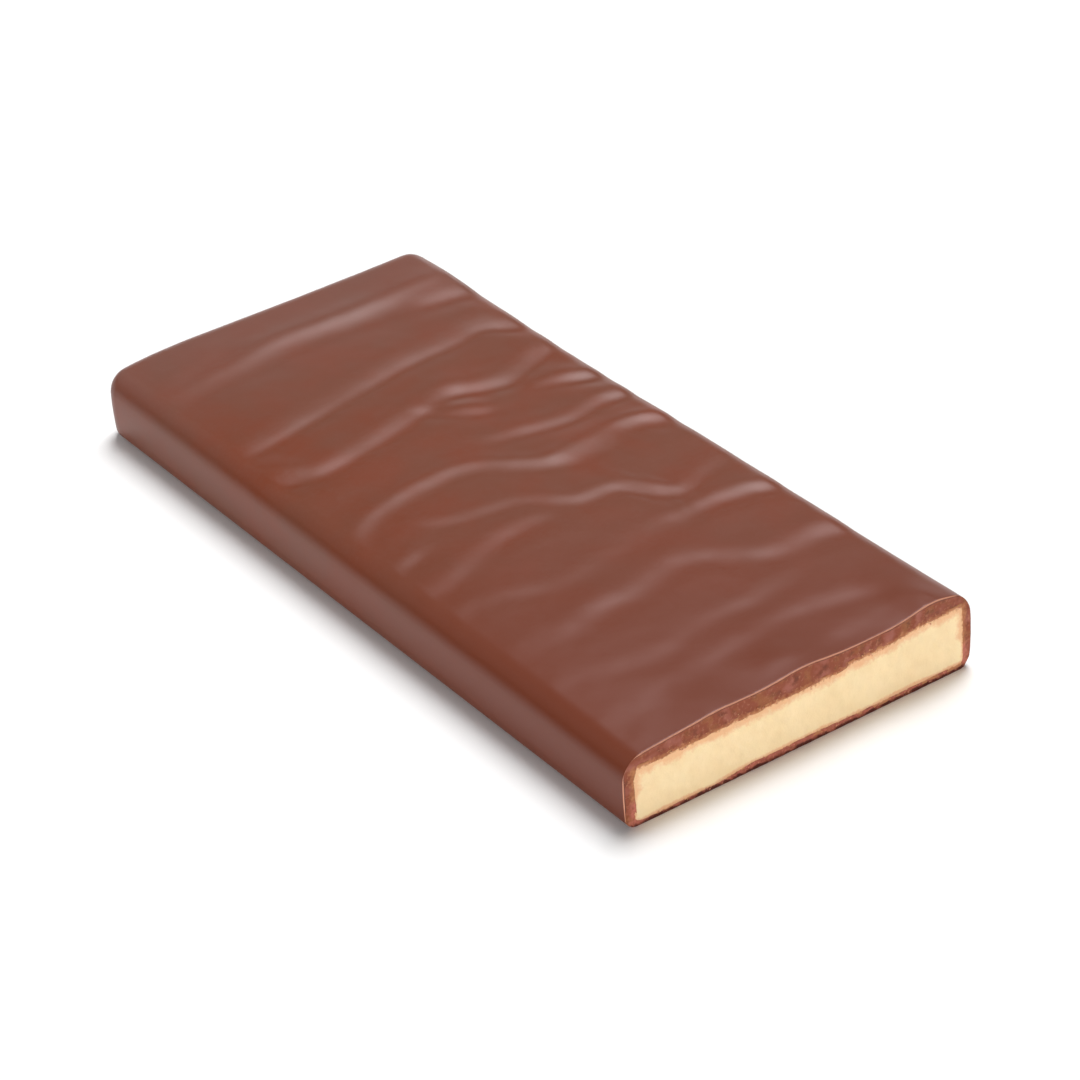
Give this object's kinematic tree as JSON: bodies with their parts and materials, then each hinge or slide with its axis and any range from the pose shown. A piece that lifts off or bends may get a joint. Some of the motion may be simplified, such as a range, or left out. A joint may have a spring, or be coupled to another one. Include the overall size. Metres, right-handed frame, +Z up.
{
  "type": "chocolate bar",
  "caption": "Slab bar of filled milk chocolate with a rippled top and rounded back end, sliced straight across so that its pale filling shows.",
  "frame": {"origin": "middle of the footprint, on the flat underside that the bar lies on", "axes": "+X along the bar towards the cut end, +Y across the bar, +Z up through its thickness"},
  "size_m": [0.1256, 0.055, 0.0121],
  "materials": {
    "milk_chocolate": "satin milk chocolate, rippled, with a soft sheen on the ripples and a dull, crumbly cut edge",
    "cream_filling": "matt, fine-grained pale filling, cut straight across"
  },
  "bodies": {
    "root": {"chocolate_coating": "milk_chocolate", "filling": "cream_filling"}
  },
  "joints": []
}
